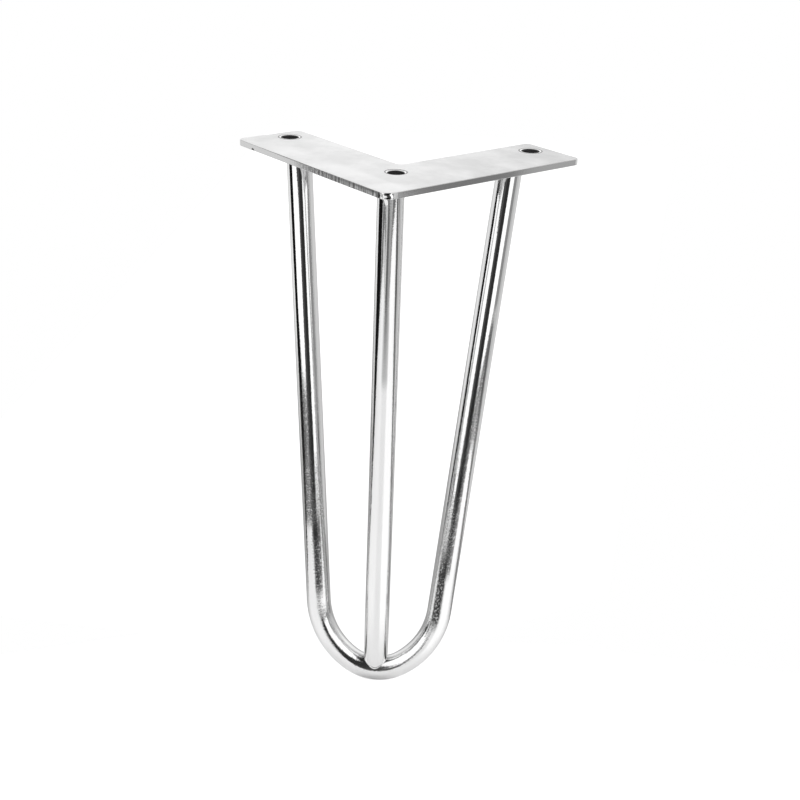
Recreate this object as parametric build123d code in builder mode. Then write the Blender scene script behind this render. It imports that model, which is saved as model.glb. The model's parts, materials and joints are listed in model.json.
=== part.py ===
# Hairpin table leg: a flat L-shaped screw plate on three round steel bars.
# One bar is bent into a hairpin between the two arms of the plate, and a straight bar
# runs from the plate's corner down to the hairpin's bend, where it is coped and welded on.
#
# Frame: the origin is on the plate's top face, over the straight bar's upper end.
# +Z points up into the table top, -Y points out through the plate's outer corner,
# and the leg is symmetric about the YZ plane.
import os
from math import asin, atan2, degrees, sqrt

from build123d import *

os.makedirs("parts", exist_ok=True)

# Driving dimensions in millimetres and degrees

leg_height = 254.0            # top of the plate to the lowest point of the foot
bar_diameter = 12.0           # all three bars are cut from the same round stock

arm_length = 116.0            # outer corner of the plate to an arm's end
arm_width = 36.0
plate_thickness = 3.0
outer_corner_radius = 4.5
inner_corner_radius = 2.5
arm_end_radius = 3.0
plate_edge_round = 0.4        # tumbled edges of the plate

screw_hole_diameter = 7.2
countersink_diameter = 9.4
countersink_angle = 120.0     # shallow, on the plate's top face
hole_from_arm_end = 10.0
hole_from_inner_edge = 12.5
corner_hole_from_inner_edge = 9.7

bar_from_outer_edge = 13.5    # bar centres, square in from the arms' outer edges
hairpin_from_arm_end = 32.5   # hairpin bar centres, from the ends of the arms
foot_splay = 8.0              # how far the foot stands out past the straight bar's top

bend_radius = 23.5            # centreline radius at the bottom of the hairpin
bend_half_angle = 35.0        # the bottom radius covers this much each side of the middle
shoulder_radius = 40.0        # easier centreline radius where the bend runs into its legs

corner_bar_setback = 0.6      # the straight bar meets the bend this far behind its middle
cope_lip = 1.0                # the cope stops this far above the middle of the bend
weld_leg = 2.5                # fillet welds under the plate

# Places worked out from the driving dimensions

bar_radius = bar_diameter / 2
diagonal = sqrt(2)
plate_underside = Plane.XY.offset(-plate_thickness)

# The plate is drawn with its arms along the local X and Y axes, from its outer corner
plate_plane = Plane(origin=(0, -diagonal * bar_from_outer_edge, 0), x_dir=(1, 1, 0), z_dir=(0, 0, 1))
end_hole_along = arm_length - hole_from_arm_end
end_hole_across = arm_width - hole_from_inner_edge
corner_hole = arm_width - corner_hole_from_inner_edge
hairpin_along = arm_length - hairpin_from_arm_end

# The three bars meet the plate's underside here, and the foot is where they come together
hairpin_half_spread = (hairpin_along - bar_from_outer_edge) / diagonal
corner_bar_top = Vector(0, 0, -plate_thickness)
hairpin_top_middle = corner_bar_top + Vector(0, hairpin_half_spread, 0)
foot_middle = Vector(0, -foot_splay, bar_radius - leg_height)

# The hairpin lies in one sloping plane, with local Y running up from the foot
hairpin_rise = hairpin_top_middle - foot_middle
across = Vector(1, 0, 0)
hairpin_plane = Plane(origin=foot_middle, x_dir=across, z_dir=across.cross(hairpin_rise))

# Each leg leaves the shoulder on the tangent that passes through its place on the plate
bottom_centre = Vector(0, bend_radius)
shoulder_centre = bottom_centre - Vector(0, -1).rotate(Axis.Z, bend_half_angle) * (shoulder_radius - bend_radius)
leg_top = Vector(hairpin_half_spread, hairpin_rise.length)
centre_to_top = leg_top - shoulder_centre
leg_run = sqrt(centre_to_top.length**2 - shoulder_radius**2)
leg_angle = degrees(atan2(centre_to_top.Y, centre_to_top.X) + asin(shoulder_radius / centre_to_top.length))

# The straight bar comes down on top of the bend, just behind its middle
corner_bar_foot = foot_middle + Vector(0, corner_bar_setback, 0)
corner_bar_rise = corner_bar_top - corner_bar_foot

# Top plate: an L of flat steel with rounded corners and three countersunk screw holes

with BuildPart() as top_plate:
    with BuildSketch(plate_plane):
        with BuildLine():
            FilletPolyline(
                (0, 0),
                (arm_length, 0),
                (arm_length, arm_width),
                (arm_width, arm_width),
                (arm_width, arm_length),
                (0, arm_length),
                radius=[
                    outer_corner_radius,
                    arm_end_radius,
                    arm_end_radius,
                    inner_corner_radius,
                    arm_end_radius,
                    arm_end_radius,
                ],
                close=True,
            )
        make_face()
    extrude(amount=-plate_thickness)
    rims = top_plate.edges().group_by(Axis.Z)
    fillet(rims[0] + rims[-1], radius=plate_edge_round)
    with Locations(plate_plane):
        with Locations(
            (end_hole_along, end_hole_across),
            (end_hole_across, end_hole_along),
            (corner_hole, corner_hole),
        ):
            CounterSinkHole(
                radius=screw_hole_diameter / 2,
                counter_sink_radius=countersink_diameter / 2,
                counter_sink_angle=countersink_angle,
            )
top_plate.part.label = "top_plate"

# Hairpin: one bar bent in its own plane, with both ends cut flush to the plate

with BuildPart() as hairpin_rod:
    with BuildLine(hairpin_plane):
        bottom = JernArc(start=(0, 0), tangent=(1, 0), radius=bend_radius, arc_size=bend_half_angle)
        shoulder = JernArc(
            start=bottom @ 1,
            tangent=bottom % 1,
            radius=shoulder_radius,
            arc_size=leg_angle - bend_half_angle,
        )
        leg = PolarLine(start=shoulder @ 1, length=leg_run + bar_diameter, direction=shoulder % 1)
        mirror(about=Plane.YZ)
    with BuildSketch(Plane(origin=leg @ 1, z_dir=leg % 1)):
        Circle(bar_radius)
    sweep()
    split(bisect_by=plate_underside, keep=Keep.BOTTOM)
hairpin_rod.part.label = "hairpin_rod"

# Corner bar: straight, cut flush to the plate, and coped to sit over the hairpin's bend

with BuildPart() as corner_rod:
    cope_end = corner_bar_foot + corner_bar_rise.normalized() * cope_lip
    with BuildSketch(Plane(origin=cope_end, z_dir=corner_bar_rise)):
        Circle(bar_radius)
    extrude(amount=corner_bar_rise.length + bar_diameter)
    split(bisect_by=plate_underside, keep=Keep.BOTTOM)
    add(hairpin_rod.part, mode=Mode.SUBTRACT)
corner_rod.part.label = "corner_rod"

# Plate welds: a fillet of weld metal around each bar, under the plate

leg_slope = leg % 1
bar_ends = [(corner_bar_top, corner_bar_rise)]
for side in (-1, 1):
    leg_end = hairpin_top_middle + across * hairpin_half_spread * side
    bar_ends.append((leg_end, Vector(side * leg_slope.X, leg_slope.Y, leg_slope.Z)))

with BuildPart() as plate_welds:
    for bar_end, slope in bar_ends:
        with BuildSketch(Plane(origin=bar_end, z_dir=slope).offset(-weld_leg)):
            Circle(bar_radius)
        extrude(amount=bar_diameter, taper=-45)
    split(bisect_by=plate_underside, keep=Keep.BOTTOM)
    add(hairpin_rod.part, mode=Mode.SUBTRACT)
    add(corner_rod.part, mode=Mode.SUBTRACT)
plate_welds.part.label = "plate_welds"

for piece in (top_plate, hairpin_rod, corner_rod, plate_welds):
    export_step(piece.part, f"parts/{piece.part.label}.step")
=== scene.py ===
# Looks of the hairpin table leg: chrome bars under a satin L-shaped screw plate.
# Everything is in metres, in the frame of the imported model.
import json
from math import cos, degrees, pi, radians, sin, sqrt, tan

import bmesh
import bpy
from mathutils import Matrix, Vector
from mathutils.bvhtree import BVHTree


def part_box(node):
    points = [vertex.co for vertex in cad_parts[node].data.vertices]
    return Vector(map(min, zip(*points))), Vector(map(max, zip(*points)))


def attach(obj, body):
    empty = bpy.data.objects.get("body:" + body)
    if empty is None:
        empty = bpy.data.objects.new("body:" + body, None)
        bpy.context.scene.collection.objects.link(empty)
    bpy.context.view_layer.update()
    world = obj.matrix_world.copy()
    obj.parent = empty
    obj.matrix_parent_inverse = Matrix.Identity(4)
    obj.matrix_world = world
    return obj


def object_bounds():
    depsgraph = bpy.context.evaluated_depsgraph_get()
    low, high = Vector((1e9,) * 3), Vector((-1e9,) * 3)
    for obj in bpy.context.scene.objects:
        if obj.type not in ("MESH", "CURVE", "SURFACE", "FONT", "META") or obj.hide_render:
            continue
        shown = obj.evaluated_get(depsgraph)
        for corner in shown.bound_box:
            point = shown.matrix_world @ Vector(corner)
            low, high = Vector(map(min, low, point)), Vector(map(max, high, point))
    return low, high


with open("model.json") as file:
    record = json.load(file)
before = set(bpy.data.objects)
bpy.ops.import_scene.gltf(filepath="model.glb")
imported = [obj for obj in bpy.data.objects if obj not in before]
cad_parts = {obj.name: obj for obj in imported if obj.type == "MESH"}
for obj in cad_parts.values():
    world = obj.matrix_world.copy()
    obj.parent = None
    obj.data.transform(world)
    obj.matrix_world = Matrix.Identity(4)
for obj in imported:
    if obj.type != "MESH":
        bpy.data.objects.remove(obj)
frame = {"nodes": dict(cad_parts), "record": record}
cad_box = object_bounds()
nodes = frame["nodes"]
mounts = {mount["name"]: mount for mount in frame["record"]["mounts"]}
scene = bpy.context.scene
scene.view_settings.view_transform = "Standard"

MM = 0.001
UP = Vector((0, 0, 1))

# Camera, at the photograph's viewing angle

CAMERA_AIM = Vector((4.46, 26.15, -114.54)) * MM
CAMERA_DISTANCE = 630.67 * MM
CAMERA_AZIMUTH = 5.721               # degrees from -Y towards +X
CAMERA_ELEVATION = 24.504            # degrees above level
CAMERA_ROLL = radians(1.967)
LENS_MM = 58.416
SENSOR_MM = 36.0
CLIP_START = 10 * MM

# The leg's own places, read from the frame

plate_low, plate_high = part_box("top_plate")
PLATE_UNDERSIDE = plate_low.z
PLATE_MIDDLE = PLATE_UNDERSIDE / 2
FLOOR_GAP = 0.1 * MM
FLOOR_Z = cad_box[0][2] - FLOOR_GAP
BAR_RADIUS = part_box("corner_rod")[1].x
FOOT_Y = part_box("hairpin_rod")[0].y + BAR_RADIUS

# Screw holes: the bore with its painted shade, the shallow countersink around it, and the marks around the
# end holes, painted wider than the holes

corner_hole = Vector(mounts["corner_screw_hole"]["pos_m"])
end_hole_middle = Vector(mounts["end_screw_holes"]["pos_m"])
end_hole_offset = Vector((mounts["end_screw_holes"]["dims"]["spacing_x_mm"] / 2 * MM, 0, 0))
HOLE_CENTRES = [corner_hole, end_hole_middle - end_hole_offset, end_hole_middle + end_hole_offset]
HOLE_RADIUS = mounts["corner_screw_hole"]["dims"]["r_mm"] * MM
SINK_WIDTH = 1.35 * MM
END_HOLE_MARK_WIDENING = 1.1                  # the marks around the end holes, the bore's painted shade among them, are drawn this much wider
SINK_RADIUS = HOLE_RADIUS + SINK_WIDTH

# Places on the plate's edge

OUTER_CORNER = Vector((0, plate_low.y, PLATE_MIDDLE))
RIGHT_ARM_END = Vector((plate_high.x, plate_high.x + plate_low.y, PLATE_MIDDLE))
LEFT_ARM = Vector((-1, 1, 0)).normalized()
NICK_FROM_END = 13 * MM
NICK_OUTWARD = 0.9 * MM
left_arm_end = Vector((-RIGHT_ARM_END.x, RIGHT_ARM_END.y, PLATE_UNDERSIDE))
NICK = left_arm_end - Vector((1, 1, 0)) * NICK_OUTWARD - LEFT_ARM * NICK_FROM_END

# Directions of the bars

LEG_LEAN = radians(13.2)             # the hairpin's plane, back from upright
LEG_SPREAD = radians(5.0)            # each leg, outward in that plane
HAIRPIN_AXIS = Vector((sin(LEG_SPREAD), cos(LEG_SPREAD) * sin(LEG_LEAN), cos(LEG_SPREAD) * cos(LEG_LEAN)))
CORNER_LEAN = 0.03                   # the corner bar's rise towards +Y for each metre upward
CORNER_AXIS = Vector((0, CORNER_LEAN, 1)).normalized()

# Dark reflections painted on the hairpin: side (1 is right), azimuth and half width in degrees, top,
# bottom, strength

LEG_PAINTED_REFLECTIONS = [
    (1, 25, 14, -84 * MM, -136 * MM, 0.6),
    (1, 12, 12, -100 * MM, -200 * MM, 0.8),
    (1, -12, 18, -170 * MM, -226 * MM, 1.0),
    (-1, -22, 22, -95 * MM, -180 * MM, 0.75),
    (-1, 16, 17, -158 * MM, -214 * MM, 0.9),
]

# Tones that the plate's marks share

RUBBED_TONE = 0.95                   # countersinks, rubbed edges and light shear lines
PIT_AND_BORE_SHADE_TONE = 0.05                      # near black: painted shade in the bores, and the pits and the nick

# Studio: distances in metres, brightness where 1 is white

STUDIO_CENTRE = Vector((0, 0.02, -0.12))
SOFTBOX_DISTANCE = 1.6
SOFTBOX_FOOT_DISTANCE = 1.4
SOFTBOX_BRIGHTNESS = 1.35
WORLD_BRIGHTNESS = 0.72
CEILING_Z = 1.5
CEILING_HALF_WIDTH = 1.1
FAR_FLOOR_DROP = 0.12                # the far floor and the room start this much lower than the floor
ROOM_HEIGHT = 3.6
FLAG_HEIGHT = 0.33
LOW_FLAG_HEIGHT = 0.09

# The floor's edges and the foot of the left flag, seen from above as (x, y) points

LEFT_BACK = (-0.30, 0.018)
LEFT_MIDDLE = (-0.5125, -0.203)
LEFT_FRONT = (-0.76, -0.46)
LEFT_EDGE = [(-0.12, 0.012), (-0.25, -0.045), (-0.43, -0.19), (-0.55, -0.40)]
FRONT_EDGE = [
    LEFT_EDGE[-1], (-0.52, -0.57), (-0.43, -0.67), (-0.24, -0.64),
    (0.26, -0.64), (0.50, -0.80), (0.80, -0.70), (0.98, -0.56),
]
RIGHT_EDGE = [FRONT_EDGE[-1], (0.74, -0.31), (0.38, -0.045), (0.22, 0.028), (0.10, 0.035), (0.04, 0.03)]
RIGHT_BACK = [(0.12, 0.09), (0.20, 0.09), (0.28, 0.07), (0.44, 0.09), (0.69, 0.02)]
FAR_BACK = [(0.24, 1.2), (-0.30, 1.2)]


def bearing(azimuth, elevation):
    """Unit vector at these degrees, with azimuth 0 towards -Y and 90 towards +X."""
    a, e = radians(azimuth), radians(elevation)
    return Vector((sin(a) * cos(e), -cos(a) * cos(e), sin(e)))


# Helpers for meshes and shader nodes


def mesh_object(name, corners, faces):
    mesh = bpy.data.meshes.new(name)
    mesh.from_pydata([tuple(c) for c in corners], [], [list(f) for f in faces])
    obj = bpy.data.objects.new(name, mesh)
    scene.collection.objects.link(obj)
    return obj


def node(tree, kind, inputs, **settings):
    """A shader node with its inputs set to plain values or linked to other nodes' outputs."""
    made = tree.nodes.new("ShaderNode" + kind)
    for key, value in settings.items():
        setattr(made, key, value)
    for key, value in inputs.items():
        if isinstance(value, bpy.types.NodeSocket):
            tree.links.new(value, made.inputs[key])
        else:
            made.inputs[key].default_value = value
    return made


def calc(tree, operation, first, second=0.0, third=0.0):
    return node(tree, "Math", {0: first, 1: second, 2: third}, operation=operation).outputs[0]


def product(tree, *factors):
    result = factors[0]
    for factor in factors[1:]:
        result = calc(tree, "MULTIPLY", result, factor)
    return result


def largest(tree, *values):
    result = values[0]
    for value in values[1:]:
        result = calc(tree, "MAXIMUM", result, value)
    return result


def off(tree, value, middle):
    """How far the value lies from the middle, either way."""
    return calc(tree, "ABSOLUTE", calc(tree, "SUBTRACT", value, middle))


def blend(tree, factor, first, second):
    return node(tree, "Mix", {0: factor, 2: first, 3: second}).outputs[0]


def spread(tree, value, low, high, to_low=0.0, to_high=1.0, curve="SMOOTHSTEP"):
    """Maps value from low..high to to_low..to_high without going past either."""
    inputs = {"Value": value, "From Min": low, "From Max": high, "To Min": to_low, "To Max": to_high}
    return node(tree, "MapRange", inputs, interpolation_type=curve).outputs["Result"]


def noise(tree, vector, scale, detail=2.0, roughness=0.5):
    inputs = {"Vector": vector, "Scale": scale, "Detail": detail, "Roughness": roughness}
    return node(tree, "TexNoise", inputs).outputs["Fac"]


def grey(tree, value):
    return node(tree, "CombineColor", {"Red": value, "Green": value, "Blue": value}).outputs[0]


def away(tree, place, spot):
    """Distance of the place from a fixed spot."""
    return node(tree, "VectorMath", {0: place, 1: spot}, operation="DISTANCE").outputs["Value"]


def along(tree, vector, axis):
    """How far the vector runs along the axis."""
    return node(tree, "VectorMath", {0: vector, 1: axis}, operation="DOT_PRODUCT").outputs["Value"]


def facing(tree, direction):
    """How squarely the surface faces the direction: 1 straight at it, 0 edge on."""
    return along(tree, node(tree, "NewGeometry", {}).outputs["Normal"], direction)


def stretched(tree, place, axis, stretch):
    """The place with its run along the axis shortened, so that noise on it is drawn out along the axis."""
    shift = calc(tree, "MULTIPLY", along(tree, place, axis), stretch - 1)
    shortening = node(tree, "VectorMath", {0: axis, "Scale": shift}, operation="SCALE").outputs[0]
    return node(tree, "VectorMath", {0: place, 1: shortening}, operation="ADD").outputs[0]


def new_metal(name):
    """A metal material, its node tree, and the place on the part as a vector and as X, Y and Z."""
    metal = bpy.data.materials.new(name)
    metal.use_nodes = True
    tree = metal.node_tree
    tree.nodes["Principled BSDF"].inputs["Metallic"].default_value = 1.0
    place = node(tree, "TexCoord", {}).outputs["Object"]
    return metal, tree, place, node(tree, "SeparateXYZ", {0: place}).outputs


def finish_metal(tree, tone, rough, height, depth):
    """Links the tone, roughness and height of a metal to its shader."""
    shader = tree.nodes["Principled BSDF"]
    tree.links.new(grey(tree, tone), shader.inputs["Base Color"])
    tree.links.new(rough, shader.inputs["Roughness"])
    relief = node(tree, "Bump", {"Height": height, "Distance": depth, "Strength": 1.0})
    tree.links.new(relief.outputs["Normal"], shader.inputs["Normal"])


# Chrome of the bars


def painted_reflection_patch(tree, parts, face, half_width, top, bottom):
    """A stretch of a bar where a dark reflection is painted, within half_width degrees of the way it faces
    and between these heights.
    """
    top_fade, bottom_fade = 22 * MM, 10 * MM
    outside, inside = cos(radians(half_width * 1.3)), cos(radians(half_width * 0.7))
    below = spread(tree, parts["Z"], top, top - top_fade)
    above = spread(tree, parts["Z"], bottom, bottom + bottom_fade)
    return product(tree, below, above, spread(tree, facing(tree, face), outside, inside))


def leg_painted_reflection(tree, parts, side, azimuth, half_width, top, bottom, strength):
    """A dark reflection painted on a stretch of the hairpin's right leg (side 1) or left leg (side -1),
    facing this azimuth.
    """
    fade_start, fade_end = side * 12 * MM, side * 18 * MM
    on_leg = spread(tree, parts["X"], fade_start, fade_end)
    patch = painted_reflection_patch(tree, parts, bearing(azimuth, degrees(LEG_LEAN)), half_width, top, bottom)
    return product(tree, on_leg, patch, strength)


def hairpin_painted_reflections(tree, parts, grain):
    """Speckled stretches of both legs of the hairpin, most of them low down, with dark reflections painted
    on them.
    """
    marks = [leg_painted_reflection(tree, parts, *mark) for mark in LEG_PAINTED_REFLECTIONS]
    return product(tree, largest(tree, *marks), spread(tree, grain, 0.48, 0.7, 1.0, 0.3))


def corner_painted_reflection(tree, parts, bands):
    """A faint grey reflection painted on the front of the corner bar, drawn out along it."""
    front = bearing(5, 0)
    half_width, top, bottom = 13, -44 * MM, -97 * MM
    mark = painted_reflection_patch(tree, parts, front, half_width, top, bottom)
    return product(tree, mark, spread(tree, bands, 0.3, 0.7, 0.3, 0.5))


def bar_chrome(name, axis, mirrored):
    """Bright chrome plate with polishing lines along the bar, a coarser grain towards the bend, and dark
    reflections painted on in stretches.
    """
    fine_z, coarse_z = -60 * MM, -150 * MM
    relief_depth = 0.02 * MM
    metal, tree, place, parts = new_metal(name)
    x = calc(tree, "ABSOLUTE", parts["X"]) if mirrored else parts["X"]
    folded = node(tree, "CombineXYZ", {"X": x, "Y": parts["Y"], "Z": parts["Z"]}).outputs[0]
    lines = noise(tree, stretched(tree, folded, axis, 0.015), 900.0, 3.0)
    bands = noise(tree, stretched(tree, folded, axis, 0.05), 160.0, 2.0)
    grain = noise(tree, place, 1100.0, 2.0, 0.7)
    patches = noise(tree, place, 55.0, 1.0)
    lowered = spread(tree, parts["Z"], fine_z, coarse_z)
    coarse = calc(tree, "MULTIPLY", lowered, spread(tree, patches, 0.3, 0.55))
    dullness_and_painted_reflection = hairpin_painted_reflections(tree, parts, grain) if mirrored else corner_painted_reflection(tree, parts, bands)

    tone = spread(tree, bands, 0.3, 0.7, 0.77, 0.82)
    # Painted dark reflections: where they lie the tone drops towards near black, and the chrome is also a
    # little rougher.
    tone = blend(tree, dullness_and_painted_reflection, tone, 0.06)
    rough = calc(tree, "MULTIPLY_ADD", lines, 0.06, 0.03)
    rough = calc(tree, "MULTIPLY_ADD", coarse, 0.05, rough)
    rough = calc(tree, "MULTIPLY_ADD", dullness_and_painted_reflection, 0.15, rough)
    pitting = calc(tree, "MULTIPLY_ADD", coarse, 2.6, 0.4)
    height = calc(tree, "MULTIPLY", lines, 0.25)
    height = calc(tree, "MULTIPLY_ADD", bands, 0.5, height)
    height = calc(tree, "MULTIPLY_ADD", grain, pitting, height)
    finish_metal(tree, tone, rough, height, relief_depth)
    return metal


# Satin of the plate


def nearest_hole(tree, parts):
    """Distance from the axis of the nearest screw hole."""
    flat = node(tree, "CombineXYZ", {"X": parts["X"], "Y": parts["Y"]}).outputs[0]
    nearest = None
    for centre in HOLE_CENTRES:
        distance = away(tree, flat, (centre.x, centre.y, 0))
        # Around the end holes the marks, the bore's painted shade among them, are drawn wider.
        if centre != corner_hole:
            distance = calc(tree, "DIVIDE", distance, END_HOLE_MARK_WIDENING)
        nearest = distance if nearest is None else calc(tree, "MINIMUM", nearest, distance)
    return nearest


def hole_masks(tree, parts):
    """Where the bores, the countersinks and their dark rims lie, and the height of the rolled-over lip."""
    from_hole = nearest_hole(tree, parts)
    # The bore, reaching a little onto the countersink, is painted near black as shade inside the hole.
    bore = spread(tree, from_hole, HOLE_RADIUS + 0.55 * MM, HOLE_RADIUS + 0.3 * MM)
    sink = spread(tree, from_hole, SINK_RADIUS + 0.2 * MM, SINK_RADIUS)
    rim = spread(tree, off(tree, from_hole, SINK_RADIUS), 0.5 * MM, 0.18 * MM)
    into_sink = spread(tree, from_hole, SINK_RADIUS, HOLE_RADIUS, curve="LINEAR")
    rise = calc(tree, "MULTIPLY", into_sink, 8.0)
    lip = calc(tree, "MULTIPLY_ADD", calc(tree, "POWER", into_sink, 3.0), -11.0, rise)
    return bore, sink, rim, lip


def edge_pits(tree, parts, chips, chipped, worn):
    """Dark pits: specks on the worn end of the right arm, and two ragged chips in the outer corner."""
    raggedness = 4 * MM
    specks = product(tree, worn, spread(tree, chips, 0.48, 0.42))
    across = calc(tree, "MULTIPLY_ADD", calc(tree, "SUBTRACT", chips, 0.5), raggedness, parts["X"])
    middle_chip = spread(tree, off(tree, across, 0.9 * MM), 1.3 * MM, 0.8 * MM)
    left_chip = spread(tree, off(tree, across, -3.8 * MM), 1.1 * MM, 0.7 * MM)
    return largest(tree, specks, product(tree, chipped, largest(tree, middle_chip, left_chip)))


def top_tone(tree, place, parts, clouds):
    """Tone of the plate's top: clouds and smudges, with painted shade that darkens it towards the ends of
    both arms.
    """
    smudges = noise(tree, stretched(tree, place, LEFT_ARM, 0.4), 120.0, 3.0)
    # Painted shade, darker along the right arm and at the end of the left arm.
    painted_shading_right = spread(tree, parts["X"], 0.0, 70 * MM, -0.08, -0.24, curve="LINEAR")
    painted_shading_left = spread(tree, parts["X"], -45 * MM, -70 * MM, 0.0, -0.06)
    tone = spread(tree, clouds, 0.35, 0.65, 0.74, 0.9)
    tone = calc(tree, "MULTIPLY_ADD", smudges, 0.16, tone)
    tone = calc(tree, "ADD", tone, painted_shading_right)
    return calc(tree, "ADD", tone, painted_shading_left)


def shear_tone(tree, parts, tone, sheared, cuts):
    """The tone with light and dark shear lines on the sheared edge, and painted shade on its upper part."""
    upper_painted_shade = spread(tree, parts["Z"], PLATE_UNDERSIDE * 0.6, PLATE_UNDERSIDE * 0.2)
    light_lines = product(tree, sheared, spread(tree, cuts, 0.5, 0.6))
    dark_lines = product(tree, sheared, spread(tree, cuts, 0.5, 0.4))
    tone = blend(tree, light_lines, tone, RUBBED_TONE)
    tone = blend(tree, dark_lines, tone, 0.2)
    # Painted shade darkens the upper part of the sheared edge.
    return blend(tree, product(tree, sheared, sheared, upper_painted_shade, 0.7), tone, 0.12)


def plate_satin():
    """Satin top with smudges and painted shade towards the arm ends, a sheared and chipped edge with
    painted shade on its upper part, rolled-over countersinks and bores painted dark as shade.
    """
    relief_depth = 0.04 * MM
    metal, tree, place, parts = new_metal("plate_satin")
    clouds = noise(tree, place, 38.0, 4.0, 0.6)
    fine = noise(tree, place, 1500.0, 2.0)
    cuts = noise(tree, stretched(tree, place, UP, 0.05), 1050.0, 2.0, 0.6)
    chips = noise(tree, place, 360.0, 1.0)

    bore, sink, rim, lip = hole_masks(tree, parts)
    edge = spread(tree, calc(tree, "ABSOLUTE", facing(tree, UP)), 0.75, 0.35)
    from_corner = spread(tree, parts["X"], 3 * MM, -3 * MM)
    to_arm_end = spread(tree, parts["X"], -52 * MM, -4 * MM)
    sheared = product(tree, edge, from_corner, to_arm_end)
    chipped = product(tree, edge, spread(tree, away(tree, place, OUTER_CORNER), 6 * MM, 3.5 * MM))
    worn = product(tree, edge, spread(tree, away(tree, place, RIGHT_ARM_END), 3.6 * MM, 2.4 * MM))
    pits = edge_pits(tree, parts, chips, chipped, worn)
    nick = spread(tree, away(tree, place, NICK), 1.4 * MM, 0.9 * MM)

    tone = top_tone(tree, place, parts, clouds)
    tone = blend(tree, sink, tone, RUBBED_TONE)
    tone = blend(tree, edge, tone, spread(tree, parts["X"], 0.0, 20 * MM, 0.66, 0.58))
    tone = shear_tone(tree, parts, tone, sheared, cuts)
    tone = blend(tree, chipped, tone, RUBBED_TONE)
    tone = blend(tree, worn, tone, RUBBED_TONE)
    tone = blend(tree, calc(tree, "MULTIPLY", rim, 0.9), tone, 0.08)
    # Painted shade: the bores go near black; the pits and the nick take the same tone.
    tone = blend(tree, largest(tree, bore, pits, nick), tone, PIT_AND_BORE_SHADE_TONE)

    rough = spread(tree, clouds, 0.3, 0.7, 0.29, 0.36)
    rough = blend(tree, largest(tree, edge, sink), rough, 0.1)
    rough = blend(tree, sheared, rough, 0.45)
    rough = blend(tree, bore, rough, 0.6)

    height = calc(tree, "MULTIPLY", fine, 0.1)
    height = blend(tree, sink, height, lip)
    height = calc(tree, "MULTIPLY_ADD", sheared, calc(tree, "MULTIPLY", cuts, 8.0), height)
    height = calc(tree, "MULTIPLY_ADD", chipped, calc(tree, "MULTIPLY", chips, 26.0), height)
    finish_metal(tree, tone, rough, height, relief_depth)
    return metal


def weld_chrome():
    """Chrome over weld metal: gently rippled and a little rougher than the bars."""
    relief_depth = 0.03 * MM
    metal, tree, place, _ = new_metal("weld_chrome")
    ripples = noise(tree, place, 500.0, 2.0)
    spatter = noise(tree, place, 2200.0, 1.0)
    tone = spread(tree, ripples, 0.3, 0.7, 0.76, 0.82)
    rough = spread(tree, spatter, 0.3, 0.7, 0.06, 0.16)
    height = calc(tree, "MULTIPLY_ADD", spatter, 0.2, ripples)
    finish_metal(tree, tone, rough, height, relief_depth)
    return metal


# Small weld pieces that the solids leave out


def ring_mesh(name, rings, finish, closed):
    """A smooth piece from rings of points, joined end to end if closed and capped if not."""
    shape = bmesh.new()
    loops = [[shape.verts.new(point) for point in ring] for ring in rings]
    pairs = list(zip(loops, loops[1:]))
    if closed:
        pairs.append((loops[-1], loops[0]))
    else:
        shape.faces.new(loops[0])
        shape.faces.new(loops[-1])
    for first, second in pairs:
        for j in range(len(first)):
            k = (j + 1) % len(first)
            shape.faces.new((first[j], first[k], second[k], second[j]))
    bmesh.ops.recalc_face_normals(shape, faces=shape.faces)
    obj = mesh_object(name, [], [])
    shape.to_mesh(obj.data)
    shape.free()
    obj.data.shade_smooth()
    obj.data.materials.append(finish)
    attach(obj, "root")


def weld_drop(finish):
    """A run of weld metal down the front of the corner bar, thick under the plate and thin at its tip."""
    top_angle, tip_angle = radians(-20), radians(-10)
    half_width = 1.45 * MM
    top_z, tip_z = PLATE_UNDERSIDE - 1.0 * MM, PLATE_UNDERSIDE - 5.8 * MM
    top_thickness, tip_thickness, sunk = 1.7 * MM, 0.3 * MM, 0.4 * MM
    rows, columns = 16, 16
    rings = []
    for i in range(rows):
        t = i / rows
        z = top_z + (tip_z - top_z) * t
        swell = sqrt(1 - t**2)
        thickness = top_thickness + (tip_thickness - top_thickness) * t
        axis_y = CORNER_LEAN * (z - PLATE_UNDERSIDE)
        ring = []
        for j in range(columns):
            turn = 2 * pi * j / columns
            angle = top_angle + (tip_angle - top_angle) * t + half_width * swell * cos(turn) / BAR_RADIUS
            lift = swell * sin(turn)
            radius = BAR_RADIUS + lift * (thickness if lift > 0 else sunk)
            ring.append((radius * sin(angle), axis_y - radius * cos(angle), z))
        rings.append(ring)
    ring_mesh("weld_drop", rings, finish, closed=False)


def foot_seam(finish):
    """The thin seam of weld metal around the corner bar where it sits on the hairpin's bend."""
    seam_radius, thickness = BAR_RADIUS - 0.35 * MM, 0.55 * MM
    end_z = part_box("corner_rod")[0].z
    start_z = end_z + 30 * MM
    steps, columns = 72, 10
    hairpin = nodes["hairpin_rod"].data
    surface = BVHTree.FromPolygons([v.co for v in hairpin.vertices], [p.vertices for p in hairpin.polygons])
    start = CORNER_AXIS * (start_z - PLATE_UNDERSIDE) / CORNER_AXIS.z + UP * PLATE_UNDERSIDE
    sideways = Vector((1, 0, 0))
    backward = CORNER_AXIS.cross(sideways)
    around = [2 * pi * j / columns for j in range(columns)]
    rings = []
    for i in range(steps):
        turn = 2 * pi * i / steps
        out = sideways * cos(turn) + backward * sin(turn)
        above = start + out * seam_radius
        middle = surface.ray_cast(above, -CORNER_AXIS)[0]
        if middle is None or middle.z < end_z:
            middle = above - CORNER_AXIS * (above.z - end_z) / CORNER_AXIS.z
        rings.append([middle + (out * cos(a) + CORNER_AXIS * sin(a)) * thickness for a in around])
    ring_mesh("foot_seam", rings, finish, closed=True)


# Camera and studio


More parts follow.
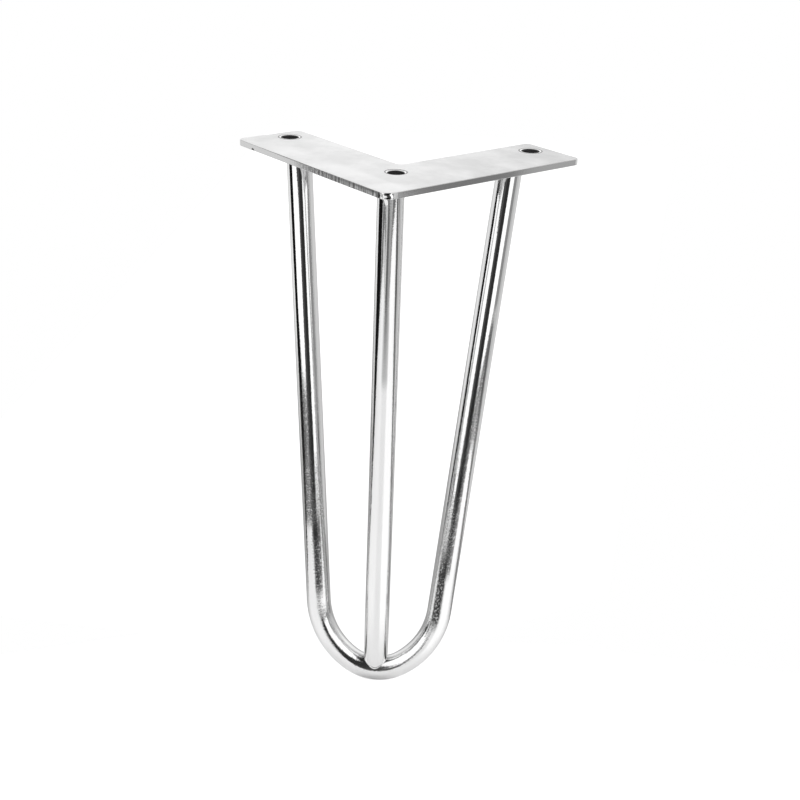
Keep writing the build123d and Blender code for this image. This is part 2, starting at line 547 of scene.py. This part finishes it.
def make_camera():
    data = bpy.data.cameras.new("camera")
    data.sensor_width = SENSOR_MM
    data.lens = LENS_MM
    data.clip_start = CLIP_START
    camera = bpy.data.objects.new("camera", data)
    scene.collection.objects.link(camera)
    back = bearing(CAMERA_AZIMUTH, CAMERA_ELEVATION)
    level = UP.cross(back).normalized()
    upright = back.cross(level)
    right = cos(CAMERA_ROLL) * level + sin(CAMERA_ROLL) * upright
    up = cos(CAMERA_ROLL) * upright - sin(CAMERA_ROLL) * level
    pose = Matrix((right, up, back)).transposed().to_4x4()
    pose.translation = CAMERA_AIM + back * CAMERA_DISTANCE
    camera.matrix_world = pose
    scene.camera = camera


def card(name, corners, brightness):
    """A flat studio card that the chrome reflects and the camera doesn't see."""
    obj = mesh_object(name, corners, [range(len(corners))])
    glow = bpy.data.materials.new(name)
    glow.use_nodes = True
    tree = glow.node_tree
    tree.nodes.clear()
    emission = node(tree, "Emission", {"Strength": brightness})
    node(tree, "OutputMaterial", {"Surface": emission.outputs[0]})
    obj.data.materials.append(glow)
    obj.visible_camera = False


def standing_card(name, start, end, height, brightness, foot=0.0):
    """A card that stands along the line from start to end, from foot to height above the floor."""
    low, high = FLOOR_Z + foot, FLOOR_Z + height
    card(name, [(*start, low), (*end, low), (*end, high), (*start, high)], brightness)


def floor_card(name, outline, brightness, drop=0.0):
    """A card that lies flat, level with the floor or lower by the drop."""
    card(name, [(x, y, FLOOR_Z - drop) for x, y in outline], brightness)


def ceiling_card(name, front_y, back_y, brightness):
    """A level card overhead, from front to back."""
    left, right = -CEILING_HALF_WIDTH, CEILING_HALF_WIDTH
    outline = [(left, front_y), (right, front_y), (right, back_y), (left, back_y)]
    card(name, [(x, y, CEILING_Z) for x, y in outline], brightness)


def softbox(name, azimuths, elevations, brightness, lean=0.0):
    """A card that faces the leg and covers these azimuths and elevations, in degrees."""
    out = bearing(sum(azimuths) / 2, sum(elevations) / 2)
    side = UP.cross(out).normalized()
    top = out.cross(side)
    level = sqrt(out.x**2 + out.y**2)
    half_width = SOFTBOX_DISTANCE * tan(radians(azimuths[1] - azimuths[0]) / 2) * level
    half_height = SOFTBOX_DISTANCE * tan(radians(elevations[1] - elevations[0]) / 2)
    centre = STUDIO_CENTRE + out * SOFTBOX_DISTANCE
    corners = []
    for across, upward in ((-1, -1), (1, -1), (1, 1), (-1, 1)):
        shift = lean * upward * half_height
        corners.append(centre + side * (across * half_width + shift) + top * upward * half_height)
    card(name, corners, brightness)


def make_world():
    """Even light all round, and pure white where the camera looks past the floor."""
    world = bpy.data.worlds.new("studio")
    world.use_nodes = True
    tree = world.node_tree
    seen = node(tree, "LightPath", {}).outputs["Is Camera Ray"]
    strength = calc(tree, "MULTIPLY_ADD", seen, 1 - WORLD_BRIGHTNESS, WORLD_BRIGHTNESS)
    tree.links.new(strength, tree.nodes["Background"].inputs["Strength"])
    tree.nodes["Background"].inputs["Color"].default_value = (1, 1, 1, 1)
    scene.world = world


def floor_tone(tree, parts, turn, reach):
    """Colour of the floor: white beside the leg, with a painted shadow behind it and far in front of it."""
    painted_shadow_behind = spread(tree, parts["Y"], -0.04, 0.06, 1.0, 0.35)
    from_left = spread(tree, turn, radians(-15), radians(-8))
    from_right = spread(tree, turn, radians(28), radians(2))
    far = spread(tree, reach, 0.40, 0.70, 0.0, 0.7)
    painted_shadow_in_front = product(tree, from_left, from_right, far)
    return product(tree, painted_shadow_behind, calc(tree, "SUBTRACT", 0.95, painted_shadow_in_front))


def floor_shine(tree, tone, turn, reach):
    """White that the metal shows of the floor, with painted light towards the softboxes and a painted
    shadow close under the foot.
    """
    # Painted light, stronger towards the left and right softboxes.
    painted_shading_left = spread(tree, turn, radians(-12), radians(-22), 0.38, 0.52)
    painted_shading_right = spread(tree, turn, radians(20), radians(32), 0.0, 0.32)
    shine = blend(tree, spread(tree, reach, 0.02, 0.08), 0.42, calc(tree, "ADD", painted_shading_left, painted_shading_right))
    painted_foot_shadow = spread(tree, reach, 0.004, 0.016, 0.2, 1.0)
    return product(tree, tone, shine, painted_foot_shadow)


def make_floor(outline):
    """A white sheet that keeps a faint shadow under the foot."""
    floor = mesh_object("floor", [(x, y, 0) for x, y in outline], [range(len(outline))])
    floor.location.z = FLOOR_Z
    paper = bpy.data.materials.new("floor")
    paper.use_nodes = True
    tree = paper.node_tree
    shader = tree.nodes["Principled BSDF"]
    shader.inputs["Roughness"].default_value = 0.9
    shader.inputs["Emission Color"].default_value = (1, 1, 1, 1)
    place = node(tree, "TexCoord", {}).outputs["Object"]
    parts = node(tree, "SeparateXYZ", {0: place}).outputs
    turn = calc(tree, "ARCTAN2", parts["X"], calc(tree, "MULTIPLY", parts["Y"], -1.0))
    reach = away(tree, place, (0, FOOT_Y, 0))
    tone = floor_tone(tree, parts, turn, reach)
    tree.links.new(grey(tree, tone), shader.inputs["Base Color"])
    rays = node(tree, "LightPath", {}).outputs
    seen = product(tree, rays["Is Camera Ray"], spread(tree, reach, 0.02, 0.1, 0.75, 0.92))
    reflected = product(tree, rays["Is Glossy Ray"], floor_shine(tree, tone, turn, reach))
    tree.links.new(calc(tree, "ADD", seen, reflected), shader.inputs["Emission Strength"])
    floor.data.materials.append(paper)


def make_strips(name, edge, strips):
    """Low strips along the far edge of the floor, each with its foot, height and brightness."""
    for number, (foot, height, brightness) in enumerate(strips):
        start, end = edge[number:number + 2]
        standing_card(f"{name}_{number}", start, end, height, brightness, foot)


def make_front():
    """Strips at the left and right of the floor's far edge, and the dim room past the gap between them."""
    left_strips = [(0.0, 0.095, 0.18), (0.045, 0.07, 0.18), (0.045, 0.07, 0.2)]
    right_strips = [(0.0, 0.078, 0.24), (0.0, 0.092, 0.18), (0.0, 0.092, 0.15)]
    make_strips("left_strip", FRONT_EDGE[:4], left_strips)
    make_strips("right_strip", FRONT_EDGE[4:], right_strips)
    left_part = [(-0.15, -0.66), (-0.36, -1.68), (0.14, -1.68), (0.05, -0.66)]
    right_part = [(0.05, -0.66), (0.14, -1.68), (0.62, -1.68), (0.26, -0.66)]
    floor_card("far_floor", left_part, 0.16, FAR_FLOOR_DROP)
    floor_card("far_floor_right", right_part, 0.42, FAR_FLOOR_DROP)
    standing_card("room", (-1.2, -1.75), (1.6, -1.75), ROOM_HEIGHT, 0.035, foot=-FAR_FLOOR_DROP)
    standing_card("room_left", (-1.1, -1.7), (-0.05, -1.7), ROOM_HEIGHT, 0.085, foot=-FAR_FLOOR_DROP)


def make_softboxes():
    """Large bright cards at the left, right and back, and a dim ceiling in front of a bright one."""
    softbox("left_softbox", (-80, -23), (-4, 62), SOFTBOX_BRIGHTNESS, lean=-0.19)
    foot_angles = [(-40, -5), (-21, -5), (-15, 14), (-40, 14)]
    foot_corners = [STUDIO_CENTRE + bearing(a, e) * SOFTBOX_FOOT_DISTANCE for a, e in foot_angles]
    card("left_softbox_foot", foot_corners, SOFTBOX_BRIGHTNESS)
    softbox("right_softbox", (27, 80), (-4, 50), SOFTBOX_BRIGHTNESS, lean=0.25)
    softbox("backdrop", (115, 245), (5, 42), 1.05)
    ceiling_card("ceiling", -0.9, 0.1, 0.03)
    ceiling_card("ceiling_back", 0.1, 1.2, 0.7)


def make_left_side():
    """A dark mat and a nearly black flag, which the left sides of the bars show, and a light wing."""
    floor_card("left_mat", [LEFT_BACK, *LEFT_EDGE, LEFT_FRONT], 0.05)
    flag_outline = [
        (*LEFT_BACK, 0.0), (*LEFT_FRONT, 0.0), (*LEFT_FRONT, 0.055),
        (*LEFT_MIDDLE, 0.13), (*LEFT_MIDDLE, 0.30), (-0.235, 0.0855, 0.30),
    ]
    card("left_flag", [(x, y, FLOOR_Z + height) for x, y, height in flag_outline], 0.008)
    standing_card("left_wing", (-0.55, 0.0), (-0.55, 0.5), 0.30, 0.92)


def make_right_side():
    """A grey mat with a lighter wing behind it, and grey flags that stand past it."""
    floor_card("right_mat", [*RIGHT_EDGE, *RIGHT_BACK], 0.25)
    floor_card("right_wing", [*RIGHT_BACK[1:], (0.8, 0.5), (0.24, 0.5)], 0.72)
    standing_card("right_flag", (0.94, -0.48), (0.50, 0.03), FLAG_HEIGHT, 0.30, foot=LOW_FLAG_HEIGHT)
    standing_card("right_flag_end", (0.50, 0.03), (0.44, 0.20), FLAG_HEIGHT, 0.6)
    standing_card("right_flag_low", RIGHT_EDGE[0], (0.48, 0.0), LOW_FLAG_HEIGHT, 0.15)


def make_studio():
    make_world()
    make_floor([LEFT_BACK, *LEFT_EDGE, *FRONT_EDGE[1:], *RIGHT_EDGE[1:], RIGHT_BACK[0], *FAR_BACK])
    make_front()
    make_softboxes()
    make_left_side()
    make_right_side()


def dress(name, finish):
    nodes[name].data.materials.clear()
    nodes[name].data.materials.append(finish)


weld_finish = weld_chrome()
dress("top_plate", plate_satin())
dress("hairpin_rod", bar_chrome("hairpin_chrome", HAIRPIN_AXIS, mirrored=True))
dress("corner_rod", bar_chrome("corner_chrome", CORNER_AXIS, mirrored=False))
dress("plate_welds", weld_finish)
weld_drop(weld_finish)
foot_seam(weld_finish)
make_camera()
make_studio()
